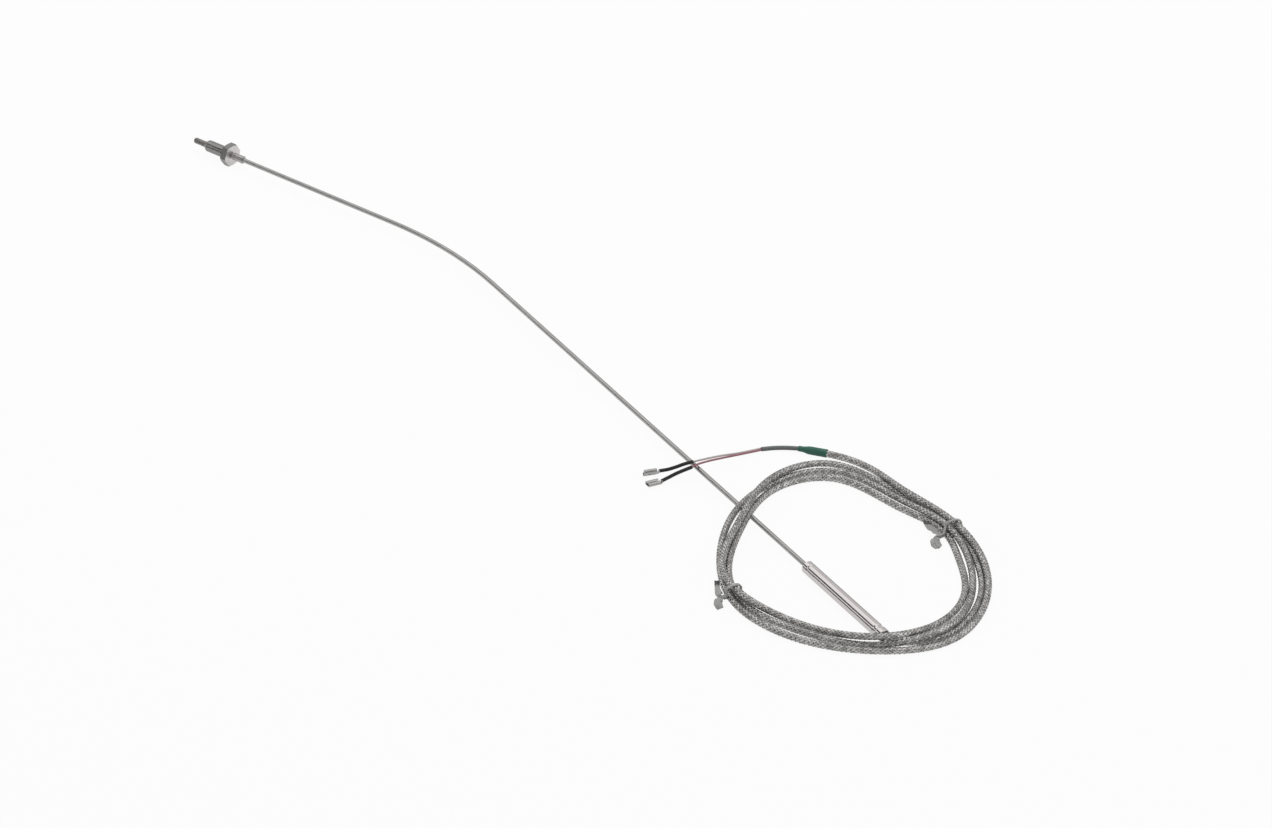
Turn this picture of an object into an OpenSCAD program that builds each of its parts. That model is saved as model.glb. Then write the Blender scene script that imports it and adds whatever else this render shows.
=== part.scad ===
// Temperature probe: a screw-in sensing head that swivels on a long bent sheath, a transition
// sleeve, and a braided cable that is tied in a coil and ends in two push-on terminals.
// X runs along the head, from the sensing tip towards the sheath, and Z is up. The origin is on
// the head's axis at the hexagon's seating face. Everything is in millimetres.

/* [Sensing tip] */
// Outside diameter of the sensing tip
tip_d = 3.175; // [3:0.025:4]
// Length of the sensing tip, from its rear face to its end
tip_len = 8.9; // [8:0.1:40]
// Radius of the rounded corner at the tip's end
tip_round = 1.2; // [0.2:0.1:1.4]
// Thickness of the tip's closed end
tip_end_wall = 0.6; // [0.4:0.1:1.5]
// Depth that the sheath is brazed into the tip
tip_socket = 3; // [2:0.1:3.5]
// Diameter of the resistance element's body
element_d = 1.6; // [1.5:0.1:2]
// Length of the resistance element's body
element_len = 2.8; // [1:0.1:3]
// Diameter of the element's lead wires
element_lead_d = 0.2; // [0.1:0.05:0.35]

/* [Swivel screw] */
// Outside diameter of the screw's shank
thread_d = 6.35; // [5:0.05:8]
// Length of the shank in front of the hexagon
thread_len = 14.3; // [6:0.1:30]
// Length of the lead-in cone at the shank's end
lead_in_len = 1.2; // [0.4:0.1:2]
// Depth of the lead-in cone
lead_in_depth = 0.7; // [0.3:0.05:0.9]
// Size of the hexagon across its flats
hex_af = 11.11; // [9:0.01:14]
// Thickness of the hexagon
hex_h = 3.97; // [2:0.01:8]
// Height of the chamfer on the hexagon's corners
hex_chamfer = 0.5; // [0.1:0.05:0.9]
// Radial clearance of the sheath in the screw
swivel_clearance = 0.09; // [0.02:0.01:0.1]
// End play between the screw and the sensing tip
tip_gap = 0.3; // [0.3:0.05:1]
// End play between the screw and the ferrule
ferrule_gap = 0.9; // [0.3:0.05:2]

/* [Rear ferrule] */
// Outside diameter of the ferrule
ferrule_d = 3.97; // [3.2:0.01:5]
// Length of the ferrule
ferrule_len = 6.8; // [4:0.1:12]
// How far the ferrule's end bead stands out
bead_rise = 0.16; // [0.05:0.01:0.5]
// Width of the ferrule's end bead
bead_w = 0.8; // [0.4:0.1:1.5]

/* [Sheath] */
// Outside diameter of the sheath
sheath_d = 2.38; // [2.2:0.01:2.6]
// Wall of the sheath
sheath_wall = 0.3; // [0.2:0.01:0.31]
// Straight length between the ferrule and the bend
front_run = 105; // [40:1:300]
// Angle of the bend
bend_angle = 20.3; // [5:0.1:45]
// Radius of the bend
bend_radius = 230; // [60:1:300]
// Straight length between the bend and the transition sleeve
rear_run = 290; // [100:1:600]
// Diameter of the two conductors in the sheath
conductor_d = 0.4; // [0.2:0.05:0.45]
// Distance between the two conductors
conductor_pitch = 1.1; // [1.05:0.05:1.15]

/* [Transition sleeve] */
// Outside diameter of the sleeve
sleeve_d = 6.35; // [6:0.05:8]
// Wall of the sleeve
sleeve_wall = 0.5; // [0.3:0.05:0.7]
// Length of the sleeve
sleeve_len = 63.5; // [56:0.5:120]
// Distance of the front crimp from the sleeve's front end
front_crimp_at = 3.8; // [2.5:0.1:5]
// Width of the front crimp
front_crimp_w = 1.4; // [0.8:0.1:2]
// Distance of the rear crimp from the sleeve's rear end
rear_crimp_at = 4.8; // [3:0.1:8]
// Width of the rear crimp
rear_crimp_w = 3; // [1.5:0.1:4]
// Depth of both crimps
crimp_depth = 0.3; // [0.1:0.05:0.45]
// Bevel of the sleeve's rims
rim_bevel = 0.2; // [0.1:0.05:0.25]
// Length of the bush in the sleeve's front end
bush_len = 6.2; // [5.8:0.1:7]
// Length of the sheath inside the sleeve
sheath_stub = 9; // [7.2:0.1:10]
// Diameter of the splices between the conductors and the leads
splice_d = 1.08; // [1.02:0.01:1.09]
// Length of each splice
splice_len = 9; // [7:0.1:10]
// Distance of the first splice from the sleeve's front end
splice_at = 14; // [12:0.1:16]
// Length of the cable that the sleeve holds
cable_grip = 12; // [9:0.1:14]

/* [Cable end] */
// Outside diameter of the braided cable
cable_d = 3.6; // [3.4:0.1:4]
// Wall of the green shrink sleeve
shrink_wall = 0.25; // [0.2:0.05:0.5]
// Length of the green shrink sleeve
shrink_len = 14.5; // [12:0.1:14.6]
// Diameter of the cable's inner jacket
jacket_d = 2.2; // [2.1:0.05:2.6]
// Diameter of the insulated leads
lead_d = 1; // [0.8:0.05:1.05]
// Diameter of the black sleeves on the leads
lead_sleeve_d = 1.8; // [1.6:0.05:2.2]
// Stripped length of each lead in its splice
strip_len = 3; // [2:0.1:3.4]

/* [Terminals] */
// Outside width of a terminal's receptacle
receptacle_w = 5.2; // [4.6:0.1:7]
// Length of a terminal's receptacle
receptacle_len = 6.3; // [5:0.1:8]
// Outside radius of the receptacle's rolled sides
roll_r = 1; // [0.8:0.05:1.2]
// Thickness of the terminals' metal
terminal_t = 0.36; // [0.25:0.01:0.45]
// Length of the neck between receptacle and barrel
neck_len = 1.4; // [1:0.1:3]
// Length of the crimp barrel inside the black sleeve
barrel_len = 4; // [3:0.1:5]
// Diameter of the catch hole in the receptacle's floor
catch_d = 1.4; // [0.8:0.1:2]

/* [Coil ties] */
// Thickness of the tie wire
tie_t = 0.6; // [0.4:0.05:0.9]
// Width of the tie along the coil
tie_w = 1.1; // [0.8:0.1:3]
// Length of each tie's twisted neck
twist_len = 2.6; // [2:0.1:6]
// Length of each tie's loose ends
tie_end_len = 8.5; // [4:0.1:12]
// Width of each tie's flat loose ends
tie_end_w = 2.2; // [1.2:0.1:3]

/* [Hidden] */
$fn = 64;

steel = "#c4c0bf";
dark_steel = "#8d8a88";
braid = "#a5a29b";

// Stations along the head's axis
tip_back = -thread_len - tip_gap;
tip_end = tip_back - tip_len;
sheath_front = tip_back - tip_socket;
element_front = tip_end + tip_end_wall;
ferrule_front = hex_h + ferrule_gap;
ferrule_back = ferrule_front + ferrule_len;
bend_start = ferrule_back + front_run;

// The part lies on a flat of the hexagon and on the sleeve's rear rim. Turning everything
// behind the screw about the head's axis brings that rim down to the hexagon's level.
rest_z = -hex_af / 2;
rear_total = rear_run + sleeve_len;
rear_reach = bend_radius * (1 - cos(bend_angle)) + rear_total * sin(bend_angle);
roll = asin((hex_af - sleeve_d) / 2 / rear_reach);
bore_r = sheath_d / 2 - sheath_wall;
seam = 0.01;
sleeve_bore_r = sleeve_d / 2 - sleeve_wall;
splice_b_at = splice_at + splice_len + 2;

// Route of the cable: x, y and height over the surface that the part lies on
exit_route = [[538, -140, 2.6]];
tail_route = [[488, -39, 1.8], [480, -37.6, 1.8], [470, -34.6, 1.8], [460, -31.4, 1.8],
    [450, -29, 1.8], [440, -27.8, 1.8], [430, -28.2, 1.9]];
shrink_at = [420, -31, 2.06];
shrink_turn = 200;
jacket_route = [[401, -38.4, 1.5], [396, -41.9, 1.2], [391.6, -46.4, 1.1]];
white_route = [[391.1, -45.9, 1.1], [388.6, -51, 1.5], [385.4, -58.5, 2.6],
    [382.2, -66, 4.1], [379.4, -74, 5.6], [376.2, -81.5, 6.4]];
white_end = [[373.6, -85, 5.9], [370.8, -88, 4.6], [367.8, -90.6, 3.3], [364.4, -93.2, 2.4]];
red_route = [[391.9, -46.9, 1.1], [389.4, -52, 1.5], [386.4, -59.5, 2.6],
    [383.8, -67.5, 4.2], [381.4, -75, 5.6], [379.4, -81.5, 6.4], [378.4, -85.4, 6.3]];
red_end = [[376.2, -88.8, 5.4], [373.8, -91.8, 4.1], [371.6, -94.8, 2.6], [369.8, -98, 1.5]];
white_turn = 232;
red_turn = 240;

// Coil of cable: middle of the bundle and half its width at stations around the coil
coil_h = 8.4;
coil_stations = [[504, -46.5, 4.4], [519, -56, 6.4], [537, -73.5, 7.6], [546, -88, 8.6],
    [548.5, -103, 8.8], [546.5, -117, 8.8], [540, -131.5, 7.8], [523, -147, 7.4],
    [508, -153.5, 8], [492, -158, 7.6], [476, -158.5, 6.6], [460, -155.5, 5.6],
    [447, -149.5, 4.2], [434, -135, 4], [425.5, -119, 4.4], [419.5, -101, 5.2],
    [416.5, -82, 5.8], [417.5, -65, 6], [424, -50, 6.4], [437, -41.5, 6.6],
    [455, -39.8, 6.8], [472, -40.8, 5.4], [488, -43.4, 4.8]];
tie_right_at = [504, -46.5];
tie_right_turn = -31;
tie_left_at = [451.5, -151.8];
tie_left_turn = -25;
tie_half = 4.4;

function unit(v) = v / norm(v);
function raise(p) = [p[0], p[1], p[2] + rest_z];
function catmull(a, b, c, d, t) = 0.5 * (2 * b + (c - a) * t
    + (2 * a - 5 * b + 4 * c - d) * t * t + (3 * b - a - 3 * c + d) * t * t * t);
// Smooth open curve through all points, with n steps between two of them
function smooth(p, n) = let (m = len(p) - 1)
    concat([for (i = [0:m - 1], j = [0:n - 1])
        catmull(p[max(i - 1, 0)], p[i], p[i + 1], p[min(i + 2, m)], j / n)], [p[m]]);
// Smooth closed curve through all points
function ring(p, n) = let (m = len(p))
    [for (i = [0:m - 1], j = [0:n - 1])
        catmull(p[(i + m - 1) % m], p[i], p[(i + 1) % m], p[(i + 2) % m], j / n)];
// Edge of the coil on side s: outside for 1, inside for -1
function coil_edge(s) = let (c = ring(coil_stations, 3), m = len(c))
    [for (i = [0:m - 1]) let (d = unit([c[(i + 1) % m][0] - c[(i + m - 1) % m][0],
        c[(i + 1) % m][1] - c[(i + m - 1) % m][1]]))
        [c[i][0], c[i][1]] + s * c[i][2] * [-d[1], d[0]]];
// Points on the straight axis inside the shrink sleeve
function shrink_point(s) = [shrink_at[0] + s * cos(shrink_turn),
    shrink_at[1] + s * sin(shrink_turn), shrink_at[2]];
// Points on the axis of the rear run, s millimetres behind the sleeve's rear end
function rear_point(s) = let (l = rear_total + s,
    x = bend_start + bend_radius * sin(bend_angle) + l * cos(bend_angle),
    y = -bend_radius * (1 - cos(bend_angle)) - l * sin(bend_angle))
    [x, y * cos(roll), y * sin(roll) - rest_z];
// Height profile of the sleeve's wall at radius r, as [radius, station] pairs
function crimped(r) = [[r, 0], [r, front_crimp_at - front_crimp_w / 2],
    [r - crimp_depth, front_crimp_at - front_crimp_w / 5],
    [r - crimp_depth, front_crimp_at + front_crimp_w / 5],
    [r, front_crimp_at + front_crimp_w / 2],
    [r, sleeve_len - rear_crimp_at - rear_crimp_w / 2],
    [r - crimp_depth, sleeve_len - rear_crimp_at - rear_crimp_w / 4],
    [r - crimp_depth, sleeve_len - rear_crimp_at + rear_crimp_w / 4],
    [r, sleeve_len - rear_crimp_at + rear_crimp_w / 2], [r, sleeve_len]];

// Sweeps a closed tube of radius r along the points, hollow where bore is over zero
module sweep(p, r, bore = 0, sides = 8) {
    m = len(p);
    rings = [for (i = [0:m - 1])
        let (d = unit(p[min(i + 1, m - 1)] - p[max(i - 1, 0)]),
            u = unit(cross([0, 0, 1], d)), v = cross(d, u))
        for (q = bore > 0 ? [r, bore] : [r], k = [0:sides - 1])
            p[i] + q * (cos(360 * k / sides) * u + sin(360 * k / sides) * v)];
    w = bore > 0 ? 2 * sides : sides;
    side_faces = [for (i = [0:m - 2], k = [0:sides - 1])
        [i * w + k, (i + 1) * w + k, (i + 1) * w + (k + 1) % sides, i * w + (k + 1) % sides]];
    bore_faces = bore > 0 ? [for (i = [0:m - 2], k = [0:sides - 1])
        [i * w + sides + k, i * w + sides + (k + 1) % sides,
            (i + 1) * w + sides + (k + 1) % sides, (i + 1) * w + sides + k]] : [];
    e = (m - 1) * w;
    caps = bore > 0 ? [for (k = [0:sides - 1]) each [
            [k, (k + 1) % sides, sides + (k + 1) % sides, sides + k],
            [e + k, e + sides + k, e + sides + (k + 1) % sides, e + (k + 1) % sides]]]
        : [[for (k = [0:sides - 1]) k], [for (k = [sides - 1:-1:0]) e + k]];
    polyhedron(rings, concat(side_faces, bore_faces, caps), convexity = 6);
}

// Places a shape drawn along +Z on the head's axis, from station x
module on_head(x) {
    rotate([roll, 0, 0]) translate([x, 0, 0]) rotate([0, 90, 0]) children();
}

// Places a shape drawn along +Z on the axis of the rear run, from station s
module on_rear(s) {
    rotate([roll, 0, 0])
        translate([bend_start + bend_radius * sin(bend_angle),
            -bend_radius * (1 - cos(bend_angle)), 0])
        rotate([0, 0, -bend_angle]) rotate([0, 90, 0]) translate([0, 0, s]) children();
}

// Round rod along the sheath's route, from head station a to rear station b, raised by up.
// The bend is thicker by seam, so that both straight runs seat inside its flat ends.
module route_rod(r, a, b, up = 0) {
    seat = 0.3;
    on_head(a) translate([-up, 0, 0]) cylinder(r = r, h = bend_start - a + seat);
    rotate([roll, 0, 0]) translate([bend_start, -bend_radius, 0])
        rotate_extrude(angle = bend_angle, start = 90 - bend_angle, $fn = 360)
        translate([bend_radius, up]) circle(r + seam, $fn = 64);
    on_rear(-seat) translate([-up, 0, 0]) cylinder(r = r, h = b + seat);
}

// Places a shape drawn along +Z on the conductor's line in the rear run
module on_conductor(s, side) {
    on_rear(s) translate([-side * conductor_pitch / 2, 0, 0]) children();
}

module sensing_tip() {
    r = tip_d / 2;
    color(dark_steel) on_head(tip_end) difference() {
        rotate_extrude() {
            translate([0, tip_round]) square([r, tip_len - tip_round]);
            square([r - tip_round, tip_len]);
            intersection() {
                translate([r - tip_round, tip_round]) circle(tip_round);
                square([r, tip_len]);
            }
        }
        translate([0, 0, tip_end_wall]) cylinder(r = sheath_d / 2, h = tip_len);
    }
}

module element() {
    color("#e8e2d4") on_head(element_front) cylinder(d = element_d, h = element_len);
}

module element_lead(s) {
    color("#d8d4cc") on_head(element_front + element_len) translate([-s * conductor_pitch / 2, 0, 0])
        cylinder(d = element_lead_d, h = sheath_front - element_front - element_len);
}

module tip_filling() {
    color("#dedad0") difference() {
        on_head(element_front) cylinder(d = sheath_d, h = sheath_front - element_front);
        element();
        element_lead(1);
        element_lead(-1);
    }
}

module swivel_screw() {
    bore = sheath_d / 2 + swivel_clearance;
    r = thread_d / 2;
    corner = hex_af / sqrt(3);
    color(steel) rotate([0, 90, 0]) difference() {
        union() {
            translate([0, 0, -thread_len]) rotate_extrude()
                polygon([[0, 0], [r - lead_in_depth, 0], [r, lead_in_len], [r, thread_len],
                    [0, thread_len]]);
            intersection() {
                rotate(30) cylinder(r = corner, h = hex_h, $fn = 6);
                rotate_extrude() polygon([[0, 0], [hex_af / 2, 0], [corner, hex_chamfer],
                    [corner, hex_h - hex_chamfer], [hex_af / 2, hex_h], [0, hex_h]]);
            }
        }
        translate([0, 0, -thread_len - 1]) cylinder(r = bore, h = thread_len + hex_h + 2);
    }
}

module ferrule() {
    r = ferrule_d / 2;
    color(steel) on_head(ferrule_front) rotate_extrude()
        polygon([[sheath_d / 2, 0], [r - bead_rise, 0], [r, bead_rise],
            [r, ferrule_len - bead_w], [r + bead_rise, ferrule_len - bead_w * 3 / 4],
            [r + bead_rise, ferrule_len - bead_w / 4], [r, ferrule_len],
            [sheath_d / 2, ferrule_len]]);
}

module sheath() {
    color(steel) difference() {
        route_rod(sheath_d / 2, sheath_front, rear_run + sheath_stub);
        route_rod(bore_r, sheath_front - 1, rear_run + sheath_stub + 1);
    }
}

// Conductor s as a rod, longer at both ends by extra
module conductor_rod(s, back, extra = 0) {
    route_rod(conductor_d / 2, sheath_front - extra, rear_run + back + extra,
        s * conductor_pitch / 2);
}

module sheath_insulation() {
    color("#e6e3da") difference() {
        route_rod(bore_r, sheath_front, rear_run + sheath_stub);
        for (s = [-1, 1]) conductor_rod(s, sheath_stub, 1);
    }
}

module conductor(s) {
    color("#b9a48c")
        conductor_rod(s, (s > 0 ? splice_at : splice_b_at) + splice_len - strip_len);
}

module transition_sleeve() {
    r = sleeve_d / 2;
    outer = crimped(r);
    bore = crimped(sleeve_bore_r);
    color(steel) on_rear(rear_run) rotate_extrude()
        polygon(concat([[r - rim_bevel, 0], [r, rim_bevel]],
            [for (i = [1:len(outer) - 2]) outer[i]],
            [[r, sleeve_len - rim_bevel], [r - rim_bevel, sleeve_len]],
            [for (i = [len(bore) - 1:-1:0]) bore[i]]));
}

// Everything inside the sleeve's bore from station a to station b
module sleeve_inside(a, b) {
    bore = crimped(sleeve_bore_r);
    on_rear(rear_run) intersection() {
        rotate_extrude() polygon(concat([[0, 0]], bore, [[0, sleeve_len]]));
        translate([0, 0, a]) cylinder(r = sleeve_d, h = b - a);
    }
}

module sleeve_bush() {
    color(dark_steel) difference() {
        sleeve_inside(0, bush_len);
        on_rear(rear_run - 1) cylinder(d = sheath_d, h = bush_len + 2);
    }
}

module splice(s) {
    at = rear_run + (s > 0 ? splice_at : splice_b_at);
    color("#c9c4b8") on_conductor(at, s) difference() {
        cylinder(d = splice_d, h = splice_len);
        translate([0, 0, -1]) cylinder(d = conductor_d, h = splice_len - strip_len + 1);
        translate([0, 0, splice_len - strip_len]) cylinder(d = lead_d / 2, h = strip_len + 1);
    }
}

// Start of a lead: stripped in its splice, insulated up to the cable's end in the sleeve
module lead_start(s) {
    at = (s > 0 ? splice_at : splice_b_at) + splice_len;
    on_conductor(rear_run + at - strip_len, s) cylinder(d = lead_d / 2, h = strip_len);
    on_conductor(rear_run + at, s) cylinder(d = lead_d, h = sleeve_len - cable_grip - at);
}

module sleeve_potting() {
    color("#3a3a3c") difference() {
        sleeve_inside(bush_len, sleeve_len - rim_bevel);
        on_rear(rear_run) cylinder(d = sheath_d, h = sheath_stub);
        for (s = [-1, 1]) {
            on_conductor(rear_run, s)
                cylinder(d = conductor_d, h = (s > 0 ? splice_at : splice_b_at));
            on_conductor(rear_run + (s > 0 ? splice_at : splice_b_at), s)
                cylinder(d = splice_d, h = splice_len);
            lead_start(s);
        }
        on_rear(rear_run + sleeve_len - cable_grip) cylinder(d = cable_d, h = cable_grip + 1);
    }
}

module cable_exit() {
    inside = [rear_point(-cable_grip), rear_point(-cable_grip / 2), rear_point(0),
        rear_point(6)];
    route = concat(inside, exit_route);
    color(braid) sweep([for (p = route) raise(p)], cable_d / 2);
}

// Band of a tie: it runs in a groove round the bundle, flush with the surface that it lies on
module tie_band(at, turn) {
    out = 2 * tie_half + tie_t;
    in = out - 2 * tie_t;
    top = coil_h + tie_t / 2;
    translate([at[0], at[1], rest_z]) rotate([0, 0, turn]) rotate([0, 90, 0])
        translate([0, 0, -tie_w / 2]) linear_extrude(tie_w) difference() {
            translate([-top, -out / 2]) square([top, out]);
            translate([tie_t - top, -in / 2]) square([top - 2 * tie_t, in]);
        }
}

module cable_coil() {
    color(braid) difference() {
        translate([0, 0, rest_z]) linear_extrude(coil_h) difference() {
            polygon(coil_edge(1));
            polygon(coil_edge(-1));
        }
        // Channel over the sheath and round the sleeve's end
        on_rear(0) translate([0, 0, 0]) {
            translate([-sheath_d / 2 - 0.3, -sheath_d / 2 - 0.3, 0])
                cube([sleeve_d + 4, sheath_d + 0.6, rear_run]);
            translate([0, 0, rear_run]) cylinder(r = sleeve_d / 2 + 0.3, h = sleeve_len + 0.3);
        }
        tie(tie_right_at, tie_right_turn, 3.4);
        tie(tie_left_at, tie_left_turn, 3);
    }
}

module cable_tail() {
    route = concat(smooth(tail_route, 1), [shrink_point(0), shrink_point(shrink_len * 0.6)]);
    color(braid) sweep([for (p = route) raise(p)], cable_d / 2);
}

// Places a shape drawn along +Z on the shrink sleeve's axis
module on_shrink(s) {
    translate(raise(shrink_point(s))) rotate([0, 0, shrink_turn]) rotate([0, 90, 0]) children();
}

module shrink_sleeve() {
    color("#2f6b57") difference() {
        on_shrink(0) cylinder(r = cable_d / 2 + shrink_wall, h = shrink_len);
        on_shrink(-1) cylinder(r = cable_d / 2, h = shrink_len * 0.6 + 1);
        on_shrink(0) cylinder(r = jacket_d / 2, h = shrink_len + 1);
    }
}

module inner_jacket() {
    route = concat([shrink_point(shrink_len * 0.6), shrink_point(shrink_len)], jacket_route);
    color("#77797a") sweep([for (p = route) raise(p)], jacket_d / 2);
}

module lead_white() {
    route = concat(white_route, white_end);
    color("#e9e6e2") {
        lead_start(1);
        sweep([for (p = smooth(route, 2)) raise(p)], lead_d / 2);
    }
}

module lead_red() {
    route = concat(red_route, red_end);
    color("#b04a55") {
        lead_start(-1);
        sweep([for (p = smooth(route, 2)) raise(p)], lead_d / 2);
    }
}

module lead_sleeve(last, end) {
    route = concat([last], end);
    color("#2b2b2d") sweep([for (p = smooth(route, 2)) raise(p)], lead_sleeve_d / 2, lead_d / 2);
}

// Section of the receptacle: a floor with both sides rolled up and over
module receptacle_section() {
    half = receptacle_w / 2 - roll_r;
    translate([-half, 0]) square([2 * half, terminal_t]);
    for (s = [-1, 1]) scale([s, 1]) translate([half, roll_r]) difference() {
        circle(roll_r);
        circle(roll_r - terminal_t);
        polygon([[0, 0], [-3 * roll_r, roll_r], [-3 * roll_r, -3 * roll_r], [0, -3 * roll_r]]);
    }
}

// Push-on terminal with its barrel at the origin and its mouth towards +X
module terminal(at, turn, lean) {
    half = receptacle_w / 2 - roll_r;
    color(steel) translate(raise(at)) rotate([0, 0, turn]) rotate([lean, 0, 0]) {
        translate([neck_len, 0, -roll_r]) difference() {
            rotate([90, 0, 90]) linear_extrude(receptacle_len) receptacle_section();
            translate([receptacle_len * 0.55, 0, -1]) cylinder(d = catch_d, h = 2);
        }
        translate([0, 0, -roll_r]) linear_extrude(terminal_t)
            polygon([[0, -lead_sleeve_d / 2], [neck_len, -half], [neck_len, half],
                [0, lead_sleeve_d / 2]]);
        translate([0, -lead_sleeve_d / 2, -roll_r]) cube([terminal_t, lead_sleeve_d, roll_r * 1.5]);
    }
}

// Wire tie: a band round the bundle, a twisted neck beside it and two flat loose ends
module tie(at, turn, rise) {
    color("#9b9b98") {
        tie_band(at, turn);
        translate([at[0], at[1], rest_z + rise]) rotate([0, 0, turn])
            translate([0, -tie_half - tie_t / 2, 0]) {
            rotate([90, 0, 0]) cylinder(r = tie_t * 1.6, h = twist_len);
            translate([0, -twist_len / 2, 0]) rotate([0, 8, 190])
                translate([0, -tie_t / 2, -tie_end_w / 2]) cube([tie_end_len, tie_t, tie_end_w]);
            translate([0, -twist_len / 2, 0]) rotate([0, 6, -38])
                translate([0, -tie_t / 2, -tie_end_w / 2]) cube([tie_end_len, tie_t, tie_end_w]);
        }
    }
}

sensing_tip();
element();
element_lead(1);  // element_lead_a
element_lead(-1);  // element_lead_b
tip_filling();
swivel_screw();
ferrule();
sheath();
sheath_insulation();
conductor(1);  // conductor_a
conductor(-1);  // conductor_b
transition_sleeve();
sleeve_bush();
splice(1);  // splice_a
splice(-1);  // splice_b
sleeve_potting();
cable_exit();
cable_coil();
cable_tail();
shrink_sleeve();
inner_jacket();
lead_white();
lead_red();
lead_sleeve(white_route[5], white_end);  // lead_sleeve_a
lead_sleeve(red_route[6], red_end);  // lead_sleeve_b
terminal(white_end[3], white_turn, 55);  // terminal_a
terminal(red_end[3], red_turn, 15);  // terminal_b
tie(tie_right_at, tie_right_turn, 3.4);  // tie_right
tie(tie_left_at, tie_left_turn, 3);  // tie_left
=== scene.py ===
import math
import random

import bmesh
import bpy
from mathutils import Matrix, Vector


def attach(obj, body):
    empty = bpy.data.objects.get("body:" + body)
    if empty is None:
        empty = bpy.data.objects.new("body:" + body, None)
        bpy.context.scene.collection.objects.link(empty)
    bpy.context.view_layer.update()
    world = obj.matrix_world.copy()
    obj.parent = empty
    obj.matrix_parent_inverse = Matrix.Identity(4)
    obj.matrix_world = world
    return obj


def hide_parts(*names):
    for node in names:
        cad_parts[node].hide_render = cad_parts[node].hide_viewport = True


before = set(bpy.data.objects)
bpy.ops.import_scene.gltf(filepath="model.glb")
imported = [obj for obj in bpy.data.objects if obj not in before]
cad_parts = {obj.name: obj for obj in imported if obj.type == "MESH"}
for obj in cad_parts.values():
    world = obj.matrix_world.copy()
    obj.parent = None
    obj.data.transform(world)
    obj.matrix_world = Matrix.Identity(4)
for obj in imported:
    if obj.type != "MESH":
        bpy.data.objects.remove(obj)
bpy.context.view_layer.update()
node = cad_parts

# Camera: a long lens looking down at about 34 degrees, so that the probe lies across the view
# from its small screw-in head on the left to the coil of cable on the right.
table = -0.005555
lens_at = Vector((1.4361, -1.5030, 1.2246))
lens_to = Vector((0.3232, -0.0581, -0.0056))
camera_data = bpy.data.cameras.new("camera")
camera_data.sensor_width = 36
camera_data.lens = 125.77
camera_data.clip_end = 60
camera = bpy.data.objects.new("camera", camera_data)
camera.location = lens_at
camera.rotation_euler = (lens_to - lens_at).to_track_quat("-Z", "Y").to_euler()
bpy.context.scene.collection.objects.link(camera)
bpy.context.scene.camera = camera
bpy.context.scene.view_settings.view_transform = "Standard"

# Studio: a plain pale table, a white surround and soft light from above. Only mirror-like
# surfaces see the surround's dark belts, as metal does between the lamps and walls of a studio.


def shade(material, kind, **values):
    """Adds a shader node with plain values on its sockets; a socket given as a value is linked."""
    made = material.node_tree.nodes.new(kind)
    for name, value in values.items():
        socket = made.inputs[name.replace("_", " ")]
        if isinstance(value, bpy.types.NodeSocket):
            material.node_tree.links.new(value, socket)
        else:
            socket.default_value = value
    return made


def sums(tree, operation, *terms, clamp=False):
    """Adds a Math node; each term is a number or a socket. Returns its output."""
    made = tree.nodes.new("ShaderNodeMath")
    made.operation = operation
    made.use_clamp = clamp
    for place, term in enumerate(terms):
        if isinstance(term, bpy.types.NodeSocket):
            tree.links.new(term, made.inputs[place])
        else:
            made.inputs[place].default_value = term
    return made.outputs[0]


def blank(name):
    """A new material whose tree holds only its output."""
    material = bpy.data.materials.new(name)
    material.use_nodes = True
    for old in list(material.node_tree.nodes):
        if old.type != "OUTPUT_MATERIAL":
            material.node_tree.nodes.remove(old)
    return material


def seen_ray(tree):
    """1 for camera, glossy and transmission rays, which see the white surround."""
    path = tree.nodes.new("ShaderNodeLightPath")
    either = sums(tree, "MAXIMUM", path.outputs["Is Camera Ray"], path.outputs["Is Glossy Ray"])
    return path, sums(tree, "MAXIMUM", either, path.outputs["Is Transmission Ray"])


glow_seen = 0.5
glow_for_camera = 0.4
table_paint = blank("table_white")
tree = table_paint.node_tree
path, seen = seen_ray(tree)
matt = shade(table_paint, "ShaderNodeBsdfDiffuse", Color=(0.55, 0.55, 0.55, 1))
white = shade(table_paint, "ShaderNodeEmission", Color=(1, 1, 1, 1), Strength=1.04)
lift = shade(table_paint, "ShaderNodeMixShader", Fac=sums(
    tree, "MULTIPLY_ADD", path.outputs["Is Camera Ray"], glow_for_camera,
    sums(tree, "MULTIPLY", seen, glow_seen)))
tree.links.new(matt.outputs[0], lift.inputs[1])
tree.links.new(white.outputs[0], lift.inputs[2])
tree.links.new(lift.outputs[0], tree.nodes["Material Output"].inputs["Surface"])
table_mesh = bpy.data.meshes.new("table_top")
table_mesh.from_pydata(
    [(-4, -5, table), (5, -5, table), (5, 5, table), (-4, 5, table)], [], [(0, 1, 2, 3)]
)
table_mesh.materials.append(table_paint)
table_top = bpy.data.objects.new("table_top", table_mesh)
bpy.context.scene.collection.objects.link(table_top)

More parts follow.
